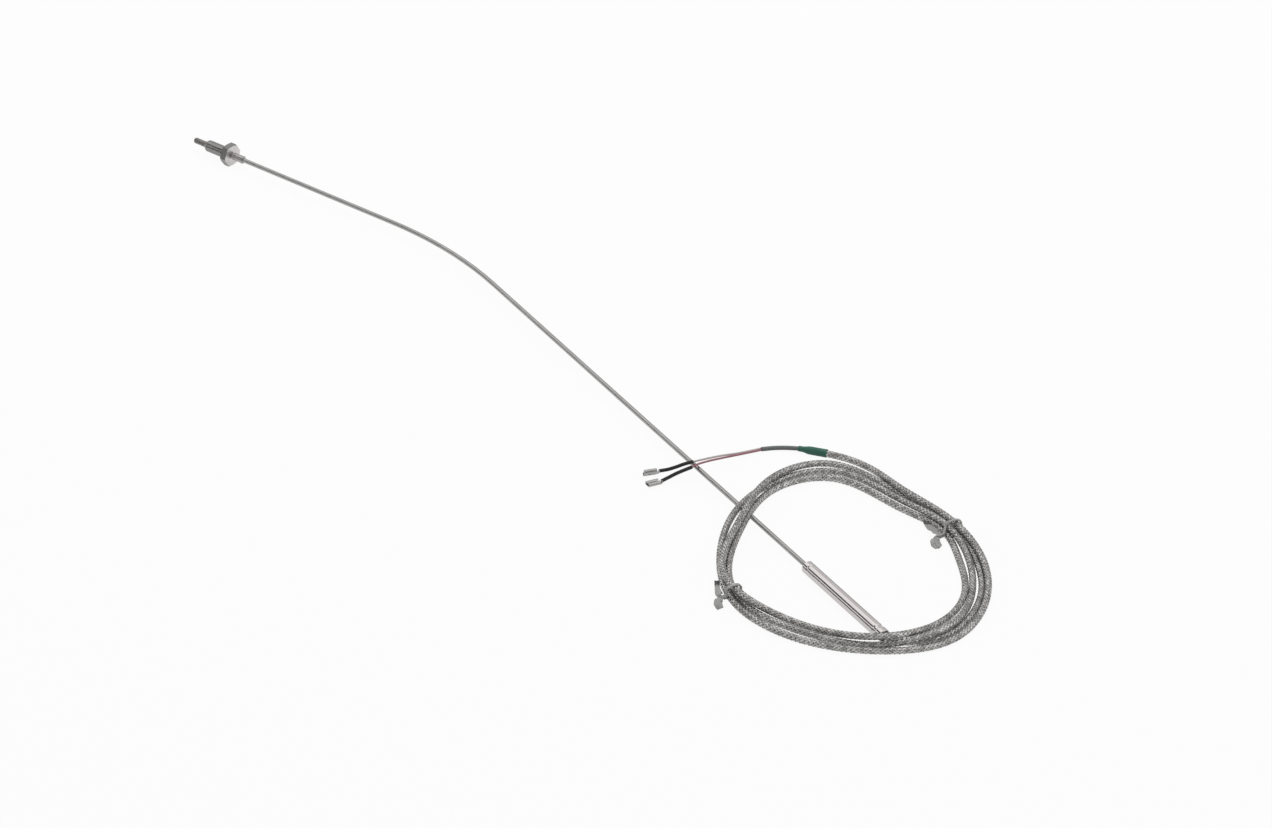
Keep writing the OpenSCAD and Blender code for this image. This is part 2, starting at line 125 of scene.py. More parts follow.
world = bpy.data.worlds.new("studio")
bpy.context.scene.world = world
world.use_nodes = True
tree = world.node_tree
tree.nodes.clear()
path, seen = seen_ray(tree)
around = tree.nodes.new("ShaderNodeTexCoord")
parts = tree.nodes.new("ShaderNodeSeparateXYZ")
tree.links.new(around.outputs["Generated"], parts.inputs[0])
lean = sums(tree, "ARCTAN2", sums(tree, "MULTIPLY", parts.outputs["Y"], -1.0), parts.outputs["Z"])
sweep_up = sums(tree, "MULTIPLY_ADD", lean, 1 / math.pi, 0.5)
belt = tree.nodes.new("ShaderNodeValToRGB")
belt.color_ramp.elements[0].position = 0.0
belt.color_ramp.elements[0].color = (0.04, 0.04, 0.04, 1)
belt.color_ramp.elements[1].position = 1.0
belt.color_ramp.elements[1].color = (0.04, 0.04, 0.04, 1)
for spot, level in ((0.04, 0.06), (0.07, 0.80), (0.17, 0.6), (0.27, 0.6), (0.36, 1.0),
                    (0.57, 0.92), (0.60, 0.05), (0.72, 0.05), (0.77, 0.95), (0.85, 0.95),
                    (0.88, 0.05)):
    step = belt.color_ramp.elements.new(spot)
    step.color = (level, level * 0.99, level * 0.985, 1)
tree.links.new(sweep_up, belt.inputs[0])
seen_light = tree.nodes.new("ShaderNodeBackground")
tree.links.new(belt.outputs[0], seen_light.inputs["Color"])
plain_white = tree.nodes.new("ShaderNodeBackground")
plain_white.inputs["Color"].default_value = (1, 1, 1, 1)
soft_light = tree.nodes.new("ShaderNodeBackground")
soft_light.inputs["Color"].default_value = (1, 1, 1, 1)
soft_light.inputs["Strength"].default_value = 0.55
first = tree.nodes.new("ShaderNodeMixShader")
tree.links.new(seen, first.inputs["Fac"])
tree.links.new(soft_light.outputs[0], first.inputs[1])
tree.links.new(seen_light.outputs[0], first.inputs[2])
second = tree.nodes.new("ShaderNodeMixShader")
tree.links.new(path.outputs["Is Camera Ray"], second.inputs["Fac"])
tree.links.new(first.outputs[0], second.inputs[1])
tree.links.new(plain_white.outputs[0], second.inputs[2])
out = tree.nodes.new("ShaderNodeOutputWorld")
tree.links.new(second.outputs[0], out.inputs["Surface"])

for name, where, aim, wide, watts in (
    ("key_light", (-0.7, 0.5, 1.9), (0.3, -0.05, 0), 2.0, 13),
    ("fill_light", (1.3, 0.9, 1.6), (0.3, -0.05, 0), 1.4, 6),
):
    lamp_data = bpy.data.lights.new(name, "AREA")
    lamp_data.size = wide
    lamp_data.energy = watts
    lamp = bpy.data.objects.new(name, lamp_data)
    lamp.location = where
    lamp.visible_glossy = False
    lamp.rotation_euler = (Vector(aim) - Vector(where)).to_track_quat("-Z", "Y").to_euler()
    bpy.context.scene.collection.objects.link(lamp)

# Braided cable, 3.6 mm over a braid of stainless wire on an inner jacket, about 1.45 m long. It
# leaves the crimped end of the sleeve, goes about three and a half times round the coil and ends in
# the green sleeve. The turns are laid out as on a clock face, with the reach from the middle of
# the coil and the height over the table in mm, hour by hour.
coil_middle = (484, -96)
turns = [
    [(73, 2), (66, 2), (57, 2), (57, 2), (58, 2), (92, 1.5),
     (78, 7), (60, 8.5), (69, 4), (66, 7.5), (55, -1), (72, 10.5)],
    [(64, 2.5), (58, 1.5), (48, 2), (53, 2), (48, 2), (78, 1.5),
     (75, 2.5), (60, 5), (64, 1.5), (67, 2), (62, 2), (69, 1.5)],
    [(74, 8), (60, 1), (54, 2.5), (53, 6), (53, 3), (85, 1.5),
     (78, 2.5), (69, 6), (67, 0.5), (71, 3), (69, 1.5), (72, 2.5)],
    [(79, 1.5), (69, 3.5), (60, 4.5), (56, 6), (57, 6.5)],
]
cable_route = [(505, -128.5, 3.2), (516.5, -132.7, 3.2), (528, -137, 3.2), (535.5, -136, 1.5)]
for hour, (reach, height) in enumerate(sum(turns, [])):
    face = math.radians(30 * hour - 18)
    cable_route.append((coil_middle[0] + reach * math.cos(face),
                        coil_middle[1] + reach * math.sin(face), height))
cable_route += [(450, -29, 1.8), (440, -27.8, 1.8), (430, -28.2, 1.9), (420, -31, 2),
                (411, -34.3, 2), (402, -37.6, 2)]


def flexed(route, steps):
    """Smooth line in metres drawn towards control points, with steps between two of them."""
    knots = [Vector((x, y, h)) * 0.001 + Vector((0, 0, table)) for x, y, h in route]
    line = []
    for i in range(len(knots) - 3):
        a, b, c, d = knots[i:i + 4]
        for t in [k / steps for k in range(steps)] + ([1.0] if i == len(knots) - 4 else []):
            line.append((a * (1 - t) ** 3 + b * (3 * t ** 3 - 6 * t ** 2 + 4)
                         + c * (-3 * t ** 3 + 3 * t ** 2 + 3 * t + 1) + d * t ** 3) / 6)
    return line


def drawn_through(route, steps):
    """Smooth line in metres through points given in mm and height over the table."""
    spots = [Vector((x, y, h)) * 0.001 + Vector((0, 0, table)) for x, y, h in route]
    line = []
    for i in range(len(spots) - 1):
        a, b = spots[max(i - 1, 0)], spots[i]
        c, d = spots[i + 1], spots[min(i + 2, len(spots) - 1)]
        for t in [k / steps for k in range(steps)]:
            line.append(0.5 * (2 * b + (c - a) * t + (2 * a - 5 * b + 4 * c - d) * t * t
                               + (3 * b - a - 3 * c + d) * t ** 3))
    return line + [spots[-1]]


def hose(name, line, radius, sides, material, bore=0.0):
    """A round tube along a line, open when it has a bore and capped when it has none.
    Its UV runs once round it, and along it in circumferences."""
    mesh = bpy.data.meshes.new(name)
    built = bmesh.new()
    around_map = built.loops.layers.uv.new("along")
    run = [0.0]
    for p, q in zip(line, line[1:]):
        run.append(run[-1] + (q - p).length)
    girth = 2 * math.pi * radius
    skins = []
    for inner in ([False, True] if bore else [False]):
        rings = []
        side = (line[1] - line[0]).normalized().orthogonal().normalized()
        for i, spot in enumerate(line):
            ahead = (line[min(i + 1, len(line) - 1)] - line[max(i - 1, 0)]).normalized()
            side = (side - side.dot(ahead) * ahead).normalized()
            other = ahead.cross(side)
            r = bore if inner else radius
            rings.append([
                built.verts.new(spot + r * (math.cos(2 * math.pi * k / sides) * side
                                            + math.sin(2 * math.pi * k / sides) * other))
                for k in range(sides)
            ])
        for i in range(len(line) - 1):
            for k in range(sides):
                n = (k + 1) % sides
                corners = [rings[i][k], rings[i][n], rings[i + 1][n], rings[i + 1][k]]
                marks = [(k, i), (k + 1, i), (k + 1, i + 1), (k, i + 1)]
                if inner:
                    corners.reverse()
                    marks.reverse()
                face = built.faces.new(corners)
                face.smooth = True
                for loop, (u, v) in zip(face.loops, marks):
                    loop[around_map].uv = (u / sides, run[v] / girth)
        skins.append(rings)
    if bore:
        for place, turn in ((0, 1), (-1, -1)):
            for k in range(sides):
                n = (k + 1) % sides
                corners = [skins[0][place][k], skins[1][place][k],
                           skins[1][place][n], skins[0][place][n]]
                built.faces.new(corners[::turn])
    else:
        for place, turn in ((0, -1), (-1, 1)):
            built.faces.new(skins[0][place][::turn])
    built.to_mesh(mesh)
    built.free()
    mesh.materials.append(material)
    made = bpy.data.objects.new(name, mesh)
    bpy.context.scene.collection.objects.link(made)
    return made


def principled(material, **values):
    """The material's Principled shader, linked to its output."""
    shader = shade(material, "ShaderNodeBsdfPrincipled", **values)
    material.node_tree.links.new(
        shader.outputs[0], material.node_tree.nodes["Material Output"].inputs["Surface"]
    )
    return shader


def blend_colours(tree, share, low, high):
    """Mixes two colours by a share; each is a tuple or a socket. Returns the colour."""
    made = tree.nodes.new("ShaderNodeMix")
    made.data_type = "RGBA"
    for place, term in ((0, share), (6, low), (7, high)):
        if isinstance(term, bpy.types.NodeSocket):
            tree.links.new(term, made.inputs[place])
        else:
            made.inputs[place].default_value = term if place == 0 else (*term, 1)
    return made.outputs[2]


def bumped(tree, height, depth):
    """A Bump normal from a height socket, with its depth in metres."""
    made = tree.nodes.new("ShaderNodeBump")
    made.inputs["Distance"].default_value = depth
    tree.links.new(height, made.inputs["Height"])
    return made.outputs["Normal"]


# Twelve flat bundles of wires lie round the jacket, six wound each way, and go over and under
# each other by turns. The tree lays a strip of faces for each bundle along the cable's line.
braid_tree = bpy.data.node_groups.new("braid over jacket", "GeometryNodeTree")
face = braid_tree.interface
face.new_socket("Geometry", in_out="INPUT", socket_type="NodeSocketGeometry")
for label, kind in (("Middle Radius", "NodeSocketFloat"), ("Crossing Spacing", "NodeSocketFloat"),
                    ("Bundles", "NodeSocketInt"), ("Bundle Share", "NodeSocketFloat"),
                    ("Relief", "NodeSocketFloat"), ("Crown", "NodeSocketFloat"),
                    ("Wire", "NodeSocketMaterial")):
    face.new_socket(label, in_out="INPUT", socket_type=kind)
face.new_socket("Geometry", in_out="OUTPUT", socket_type="NodeSocketGeometry")


def put(tree, kind, inputs=(), **settings):
    """Adds a node with its settings, and links or sets the inputs given as (place, value)."""
    made = tree.nodes.new(kind)
    for name, value in settings.items():
        setattr(made, name, value)
    for place, value in inputs:
        if isinstance(value, bpy.types.NodeSocket):
            tree.links.new(value, made.inputs[place])
        else:
            made.inputs[place].default_value = value
    return made


tree = braid_tree
given = tree.nodes.new("NodeGroupInput").outputs
line = put(tree, "GeometryNodeMeshToCurve", [("Mesh", given["Geometry"])]).outputs[0]
long = put(tree, "GeometryNodeCurveLength", [(0, line)]).outputs[0]
count = sums(tree, "ROUND", sums(tree, "DIVIDE", long, given["Crossing Spacing"]))
strip = put(tree, "GeometryNodeMeshGrid", [
    ("Size X", 1.0), ("Size Y", 1.0), ("Vertices X", sums(tree, "ADD", count, 1.0)),
    ("Vertices Y", 4)]).outputs["Mesh"]
single = put(tree, "GeometryNodeGeometryToInstance", [(0, strip)]).outputs[0]
copies = put(tree, "GeometryNodeDuplicateElements",
             [("Geometry", single), ("Amount", given["Bundles"])], domain="INSTANCE")
tagged = put(tree, "GeometryNodeStoreNamedAttribute", [
    ("Geometry", copies.outputs["Geometry"]), ("Name", "bundle"),
    ("Value", copies.outputs["Duplicate Index"])], data_type="INT", domain="INSTANCE")
strips = put(tree, "GeometryNodeRealizeInstances", [(0, tagged.outputs[0])]).outputs[0]
bundle = put(tree, "GeometryNodeInputNamedAttribute", [("Name", "bundle")],
             data_type="INT").outputs["Attribute"]
spot = put(tree, "ShaderNodeSeparateXYZ", [(0, tree.nodes.new("GeometryNodeInputPosition").outputs[0])])
share = sums(tree, "ADD", spot.outputs["X"], 0.5)
crossing = sums(tree, "MULTIPLY", share, count)
half = sums(tree, "DIVIDE", given["Bundles"], 2.0)
way = sums(tree, "MULTIPLY_ADD", sums(tree, "LESS_THAN", bundle, sums(tree, "SUBTRACT", half, 0.5)),
           2.0, -1.0)
angle = sums(tree, "MULTIPLY", 2 * math.pi, sums(tree, "ADD", sums(
    tree, "MULTIPLY", way, sums(tree, "DIVIDE", crossing, given["Bundles"])), sums(
    tree, "DIVIDE", sums(tree, "MULTIPLY_ADD", spot.outputs["Y"], given["Bundle Share"], bundle),
    half)))
wave = sums(tree, "MULTIPLY", way, sums(tree, "COSINE", sums(tree, "MULTIPLY", crossing, math.pi)))
edge = sums(tree, "POWER", sums(tree, "MULTIPLY", sums(tree, "ABSOLUTE", spot.outputs["Y"]), 2.0), 2.0)
far = sums(tree, "SUBTRACT", sums(tree, "MULTIPLY_ADD", wave, given["Relief"],
                                  given["Middle Radius"]),
           sums(tree, "MULTIPLY", edge, given["Crown"]))
at = put(tree, "GeometryNodeSampleCurve",
         [("Curves", line), ("Length", sums(tree, "MULTIPLY", share, long))],
         mode="LENGTH", use_all_curves=True)
side = at.outputs["Normal"]
over = put(tree, "ShaderNodeVectorMath", [(0, at.outputs["Tangent"]), (1, side)],
           operation="CROSS_PRODUCT").outputs[0]
out_one = put(tree, "ShaderNodeVectorMath", [
    (0, side), ("Scale", sums(tree, "MULTIPLY", far, sums(tree, "COSINE", angle)))],
    operation="SCALE").outputs[0]
out_two = put(tree, "ShaderNodeVectorMath", [
    (0, over), ("Scale", sums(tree, "MULTIPLY", far, sums(tree, "SINE", angle)))],
    operation="SCALE").outputs[0]
sum_one = put(tree, "ShaderNodeVectorMath", [(0, at.outputs["Position"]), (1, out_one)],
              operation="ADD").outputs[0]
place = put(tree, "ShaderNodeVectorMath", [(0, sum_one), (1, out_two)], operation="ADD").outputs[0]
marks = put(tree, "ShaderNodeCombineXYZ", [
    (0, sums(tree, "ADD", bundle, sums(tree, "ADD", spot.outputs["Y"], 0.5))), (1, crossing)])
marked = put(tree, "GeometryNodeStoreNamedAttribute", [
    ("Geometry", strips), ("Name", "along"), ("Value", marks.outputs[0])],
    data_type="FLOAT2", domain="CORNER").outputs[0]
laid = put(tree, "GeometryNodeSetPosition", [("Geometry", marked), ("Position", place)]).outputs[0]
flipped = put(tree, "GeometryNodeFlipFaces", [(0, laid)]).outputs[0]
smooth = put(tree, "GeometryNodeSetShadeSmooth", [("Geometry", flipped)]).outputs[0]
whole = put(tree, "GeometryNodeRealizeInstances", [(0, smooth)]).outputs[0]
clad = put(tree, "GeometryNodeSetMaterial", [("Geometry", whole), ("Material", given["Wire"])])
tree.links.new(clad.outputs[0], tree.nodes.new("NodeGroupOutput").inputs[0])


def grown(name, base, tree, **sizes):
    """The mesh that a Geometry Nodes tree makes from a base mesh, as a plain object."""
    seed = bpy.data.objects.new(name + "_base", base)
    bpy.context.scene.collection.objects.link(seed)
    step = seed.modifiers.new("nodes", "NODES")
    step.node_group = tree
    for socket in tree.interface.items_tree:
        if socket.in_out == "INPUT" and socket.name.replace(" ", "_") in sizes:
            step[socket.identifier] = sizes[socket.name.replace(" ", "_")]
    bpy.context.view_layer.update()
    ready = seed.evaluated_get(bpy.context.evaluated_depsgraph_get())
    made = bpy.data.objects.new(name, bpy.data.meshes.new_from_object(ready))
    bpy.data.objects.remove(seed)
    bpy.context.scene.collection.objects.link(made)
    return made


# Every surface here is a little cloudy and a little grained. One node group makes both values,
# the grain drawn out along a direction when Stretch is less than 1 on an axis.
cloud_tree = bpy.data.node_groups.new("cloud and grain", "ShaderNodeTree")
for label, kind, start in (("Cloud Scale", "NodeSocketFloat", 180.0),
                           ("Grain Scale", "NodeSocketFloat", 900.0),
                           ("Stretch", "NodeSocketVector", (1, 1, 1)),
                           ("Turn", "NodeSocketVector", (0, 0, 0))):
    cloud_tree.interface.new_socket(label, in_out="INPUT", socket_type=kind).default_value = start
for label in ("Cloud", "Grain"):
    cloud_tree.interface.new_socket(label, in_out="OUTPUT", socket_type="NodeSocketFloat")
tree = cloud_tree
given = tree.nodes.new("NodeGroupInput").outputs
place = tree.nodes.new("ShaderNodeTexCoord").outputs["Object"]
cloud = put(tree, "ShaderNodeTexNoise", [("Vector", place), ("Scale", given["Cloud Scale"]),
                                         ("Detail", 4.0)])
lay = put(tree, "ShaderNodeMapping", [("Vector", place), ("Rotation", given["Turn"]),
                                      ("Scale", given["Stretch"])])
grain = put(tree, "ShaderNodeTexNoise", [("Vector", lay.outputs[0]),
                                         ("Scale", given["Grain Scale"]), ("Detail", 3.0)])
made = tree.nodes.new("NodeGroupOutput")
tree.links.new(cloud.outputs["Fac"], made.inputs["Cloud"])
tree.links.new(grain.outputs["Fac"], made.inputs["Grain"])


def clouded(tree, cloud, grain, stretch=(1, 1, 1), turn=0.0):
    """Adds the cloud and grain group to a material. Returns its two values."""
    made = tree.nodes.new("ShaderNodeGroup")
    made.node_tree = cloud_tree
    for label, value in (("Cloud Scale", cloud), ("Grain Scale", grain), ("Stretch", stretch),
                         ("Turn", (0, 0, turn))):
        made.inputs[label].default_value = value
    return made.outputs["Cloud"], made.outputs["Grain"]


# Stainless wire: each bundle shows three wires side by side, with painted shade in the grooves between
# them.
# Every stretch between two crossings is painted brighter or duller at random, a painted glint for the
# way it leans, and painted shade darkens each bundle's edges and each stretch where it dips under the
# next.
wire_steel = blank("braid_wire")
tree = wire_steel.node_tree
spots = put(tree, "ShaderNodeUVMap", uv_map="along")
parts = put(tree, "ShaderNodeSeparateXYZ", [(0, spots.outputs[0])])
across = sums(tree, "FRACT", parts.outputs["X"])
which = sums(tree, "FLOOR", parts.outputs["X"])
step = sums(tree, "MULTIPLY", sums(tree, "ADD", parts.outputs["Y"],
                                   sums(tree, "LESS_THAN", which, 5.5)), 0.5)
stretch = put(tree, "ShaderNodeCombineXYZ", [(0, which), (1, sums(tree, "FLOOR", step))])
chance = put(tree, "ShaderNodeTexWhiteNoise", [("Vector", stretch.outputs[0])])
# Painted shade: the grooves between the three wires darken the colour; the same wires shape the bump.
wires = sums(tree, "ABSOLUTE", sums(tree, "SINE", sums(tree, "MULTIPLY", across, math.pi * 3)))
rim = sums(tree, "POWER", sums(tree, "ABSOLUTE", sums(tree, "MULTIPLY_ADD", across, 2.0, -1.0)), 4.0)
dip = sums(tree, "POWER", sums(tree, "ABSOLUTE", sums(
    tree, "MULTIPLY_ADD", sums(tree, "FRACT", step), 2.0, -1.0)), 3.0)
marble = clouded(tree, 260.0, 900.0)[0]
# Painted glint: each stretch between crossings is brighter or duller at random, for the way it leans.
painted_glint_tone = blend_colours(tree, chance.outputs["Value"], (0.46, 0.455, 0.44), (1.0, 0.99, 0.97))
# Painted shade: each bundle's edges and the dips under the next bundle fade towards near black.
painted_rim_and_dip_shade = sums(tree, "MULTIPLY", sums(tree, "SUBTRACT", 1.0, sums(tree, "MULTIPLY", rim, 0.55)),
            sums(tree, "SUBTRACT", 1.0, sums(tree, "MULTIPLY", dip, 0.7)))
painted_shade_share = sums(tree, "MULTIPLY", painted_rim_and_dip_shade, sums(tree, "MULTIPLY_ADD", wires, 0.35, 0.65), clamp=True)
heave = sums(tree, "MULTIPLY_ADD", marble, 2.0, sums(tree, "MULTIPLY", wires, 0.5))
principled(
    wire_steel,
    Base_Color=blend_colours(tree, painted_shade_share, (0.03, 0.03, 0.028), painted_glint_tone),
    Metallic=1.0,
    Roughness=sums(tree, "MULTIPLY_ADD", chance.outputs["Value"], -0.12, 0.36),
    Normal=bumped(tree, heave, 0.0001),
)
cable_line = flexed(cable_route, 26)
line_mesh = bpy.data.meshes.new("cable_line")
line_mesh.from_pydata([tuple(p) for p in cable_line],
                      [(i, i + 1) for i in range(len(cable_line) - 1)], [])
cable = grown("braided_cable", line_mesh, braid_tree, Middle_Radius=0.00165,
              Crossing_Spacing=0.0011, Bundles=12, Bundle_Share=0.80, Relief=0.00014,
              Crown=0.00016, Wire=wire_steel)
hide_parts("cable_exit", "cable_coil", "cable_tail")
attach(cable, "probe")

# Green shrink sleeve over the end of the braid, and the grey inner jacket that comes out of it.
# The sleeve is shrunk down in a soft step from the braid to the jacket.


def turned_about(start, ahead, profile, sides, name, material):
    """Turns a profile of (distance, radius) pairs in metres about a line."""
    side = ahead.orthogonal().normalized()
    other = ahead.cross(side)
    mesh = bpy.data.meshes.new(name)
    built = bmesh.new()
    along_map = built.loops.layers.uv.new("along")
    rings = []
    for s, r in profile:
        spot = start + ahead * s
        rings.append([
            built.verts.new(spot + r * (math.cos(2 * math.pi * k / sides) * side
                                        + math.sin(2 * math.pi * k / sides) * other))
            for k in range(sides)
        ])
    for i in range(len(rings) - 1):
        a, b = rings[i], rings[i + 1]
        for k in range(sides):
            n = (k + 1) % sides
            face = built.faces.new([a[k], a[n], b[n], b[k]])
            face.smooth = True
            spots = [(k, i), (k + 1, i), (k + 1, i + 1), (k, i + 1)]
            for loop, (u, v) in zip(face.loops, spots):
                loop[along_map].uv = (u / sides, profile[v][0] * 100)
    built.to_mesh(mesh)
    built.free()
    mesh.materials.append(material)
    made = bpy.data.objects.new(name, mesh)
    bpy.context.scene.collection.objects.link(made)
    return made


def plastic(name, colour, shift, rough, grain=900, depth=0.00003):
    """Moulded or drawn plastic: one colour with faint cloudy patches and a fine rough skin."""
    material = blank(name)
    tree = material.node_tree
    cloud, skin = clouded(tree, 180.0, grain)
    darker = tuple(c * (1 - shift) for c in colour)
    lighter = tuple(min(1, c * (1 + shift)) for c in colour)
    principled(
        material,
        Base_Color=blend_colours(tree, cloud, darker, lighter),
        Roughness=sums(tree, "MULTIPLY_ADD", skin, 0.2, rough - 0.1),
        Normal=bumped(tree, skin, depth),
    )
    return material


green_sleeve = plastic("green_shrink", (0.036, 0.150, 0.105), 0.25, 0.42)
grey_jacket = plastic("grey_jacket", (0.17, 0.18, 0.185), 0.2, 0.5)
ahead = Vector((math.cos(math.radians(200)), math.sin(math.radians(200)), 0))
shrink_start = Vector((0.420, -0.031, table + 0.00206))
shrink = turned_about(
    shrink_start, ahead,
    [(s * 0.001, r * 0.001) for s, r in (
        (8.0, 1.82), (0.0, 1.82), (0.0, 2.03), (0.15, 2.05), (7.6, 2.04), (9.3, 1.98),
        (10.6, 1.72), (11.6, 1.48), (12.6, 1.40), (14.35, 1.38), (14.5, 1.34), (14.5, 1.12),
        (10.0, 1.12))],
    40, "green_sleeve", green_sleeve)
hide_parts("shrink_sleeve")
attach(shrink, "probe")
shrink_in = shrink_start + ahead * 0.0087
jacket_line = [shrink_in, shrink_start + ahead * 0.0116] + drawn_through(
    [(406.4, -36.0, 2.06), (401, -38.4, 1.5), (396, -41.9, 1.2), (391.6, -46.4, 1.1)], 6)
jacket = hose("inner_jacket_run", jacket_line, 0.0011, 14, grey_jacket)
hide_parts("inner_jacket")
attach(jacket, "probe")

core_skin = plastic("cable_core", (0.05, 0.05, 0.05), 0.3, 0.5)
core = hose("cable_core", cable_line, 0.00136, 10, core_skin)
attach(core, "probe")

# Two insulated leads, one white and one red, with a black sleeve over the end of each, where it
# is crimped in its push-on terminal. The leads rise over the sheath and lean on it.
white_skin = plastic("white_lead", (0.62, 0.56, 0.56), 0.06, 0.45)
red_skin = plastic("red_lead", (0.40, 0.17, 0.20), 0.15, 0.42)
black_skin = plastic("black_sleeve", (0.022, 0.022, 0.024), 0.3, 0.42)
lead_routes = {
    "white": ([(391.1, -45.9, 1.1), (388.6, -51, 1.5), (385.4, -58.5, 2.6), (382.2, -66, 4.1),
               (379.4, -74, 5.6), (376.2, -81.5, 6.4)],
              [(373.6, -85, 5.9), (370.8, -88, 4.6), (367.8, -90.6, 3.3), (364.4, -93.2, 2.4)]),
    "red": ([(391.9, -46.9, 1.1), (389.4, -52, 1.5), (386.4, -59.5, 2.6), (383.8, -67.5, 4.2),
             (381.4, -75, 5.6), (379.4, -81.5, 6.4), (378.4, -85.4, 6.3)],
            [(376.2, -88.8, 5.4), (373.8, -91.8, 4.1), (371.6, -94.8, 2.6), (369.8, -98, 1.5)]),
}
splice_side = 0.45
for colour, skin, covered, spade in (
    ("white", white_skin, "lead_sleeve_a", "terminal_a"),
    ("red", red_skin, "lead_sleeve_b", "terminal_b"),
):
    bare, hidden = lead_routes[colour]
    lead_line = drawn_through(bare + hidden, 5)
    lead = hose(f"{colour}_lead", lead_line, 0.0005, 12, skin)
    # The other end of each lead lies in the potted sleeve, at its splice.
    inside = bmesh.new()
    inside.from_mesh(node[f"lead_{colour}"].data)
    bmesh.ops.delete(inside, geom=[v for v in inside.verts if v.co.x < splice_side],
                     context="VERTS")
    start_mesh = bpy.data.meshes.new(f"{colour}_lead_start")
    inside.to_mesh(start_mesh)
    inside.free()
    start_mesh.materials.append(skin)
    start = bpy.data.objects.new(f"{colour}_lead_start", start_mesh)
    bpy.context.scene.collection.objects.link(start)
    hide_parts(f"lead_{colour}")
    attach(start, "probe")
    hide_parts(f"lead_{colour}")
    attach(lead, "probe")
    over = hose(f"{colour}_lead_sleeve", drawn_through([bare[-1]] + hidden, 6), 0.0009, 14,
                black_skin, bore=0.00052)
    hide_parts(covered)
    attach(over, "probe")
    long = sum((q - p).length for p, q in zip(lead_line, lead_line[1:]))

